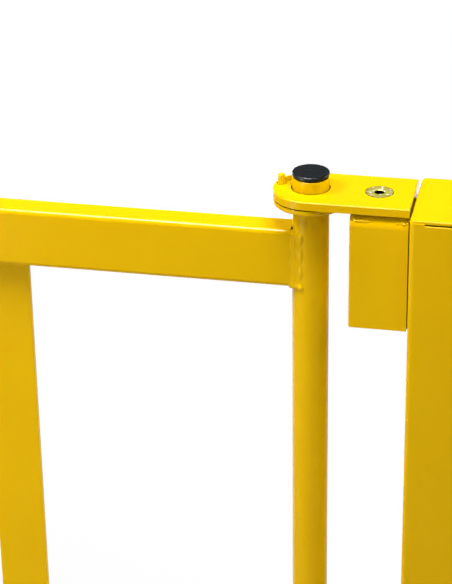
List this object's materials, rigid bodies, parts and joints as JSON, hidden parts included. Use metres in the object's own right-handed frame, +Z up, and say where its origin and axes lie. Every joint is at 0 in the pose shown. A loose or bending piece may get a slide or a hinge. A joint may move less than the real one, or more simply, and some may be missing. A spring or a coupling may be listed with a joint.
{
  "type": "railing gate",
  "caption": "Yellow railing gate of welded steel: an open leaf on a round hinge tube with plate hinges, swinging between square posts with base plates.",
  "frame": {"origin": "under the middle of the hinge post's base plate, on the ground", "axes": "+X from the latch post towards the hinge post, +Y away from the approach side (the leaf opens that way), +Z up"},
  "size_m": [1.3629, 0.18, 1.1204],
  "materials": {
    "yellow_powder_coat": "satin to gloss powder coat",
    "black_plastic": "satin moulded polyethylene",
    "zinc_plated_steel": "zinc plated, slightly yellow"
  },
  "bodies": {
    "posts": {"hinge_post": "yellow_powder_coat", "hinge_post_cap": "yellow_powder_coat", "hinge_post_base_plate": "yellow_powder_coat", "upper_hinge_bracket": "yellow_powder_coat", "upper_bracket_end_plate": "yellow_powder_coat", "upper_bracket_mounting_plate": "yellow_powder_coat", "upper_hinge_plate": "yellow_powder_coat", "upper_hinge_screw": "zinc_plated_steel", "lower_hinge_bracket": "yellow_powder_coat", "lower_bracket_end_plate": "yellow_powder_coat", "lower_bracket_mounting_plate": "yellow_powder_coat", "lower_hinge_plate": "yellow_powder_coat", "lower_hinge_screw": "zinc_plated_steel", "latch_post": "yellow_powder_coat", "latch_post_cap": "yellow_powder_coat", "latch_post_base_plate": "yellow_powder_coat"},
    "leaf": {"hinge_tube": "yellow_powder_coat", "upper_collar": "yellow_powder_coat", "lower_collar": "yellow_powder_coat", "stop_pin": "yellow_powder_coat", "tube_top_plug": "black_plastic", "tube_bottom_plug": "black_plastic", "top_rail": "yellow_powder_coat", "bottom_rail": "yellow_powder_coat", "hinge_side_upright": "yellow_powder_coat", "middle_upright": "yellow_powder_coat", "free_end_upright": "yellow_powder_coat", "top_rail_plug": "black_plastic", "bottom_rail_plug": "black_plastic", "top_rail_weld": "yellow_powder_coat", "bottom_rail_weld": "yellow_powder_coat"}
  },
  "joints": [
    {"name": "gate_swing", "type": "hinge", "parent": "posts", "child": "leaf", "pos_m": [-0.1486, 0, 0.627], "axis": [0, 0, -1], "range_deg": [0, 90]}
  ]
}
